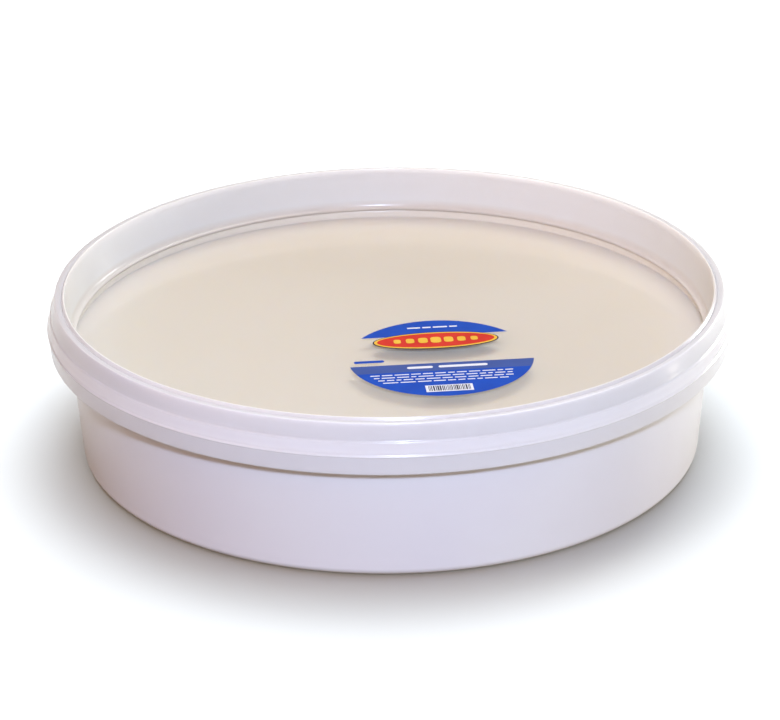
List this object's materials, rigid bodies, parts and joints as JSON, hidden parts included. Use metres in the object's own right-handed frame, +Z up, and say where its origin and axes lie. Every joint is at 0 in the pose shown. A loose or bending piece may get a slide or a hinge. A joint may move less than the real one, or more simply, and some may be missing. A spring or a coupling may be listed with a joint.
{
  "type": "yogurt pot",
  "caption": "Wide, shallow round tub of yogurt, closed by a press-on lid whose raised ring surrounds a sunk clear panel with a colour print.",
  "frame": {"origin": "centre of the pot's base, on the surface it stands on", "axes": "+Z up along the pot's axis; -Y towards the side where the lid's print lies, which is the front; +X to the right seen from the front"},
  "size_m": [0.3, 0.3, 0.0743],
  "materials": {
    "tub_plastic": "smooth white polypropylene with a soft lavender cast",
    "yogurt": "set cream yogurt with a faintly uneven skin",
    "lid_plastic": "translucent natural polypropylene, clear in the thin panel and milky in the ring",
    "print_blue": "printed ink",
    "print_red": "printed ink",
    "print_white": "printed ink"
  },
  "bodies": {
    "root": {"tub": "tub_plastic", "yogurt": "yogurt", "lid": "lid_plastic", "print_upper": "print_blue", "print_lower": "print_blue", "print_badge": "print_red", "print_bar_box": "print_white"}
  },
  "joints": []
}
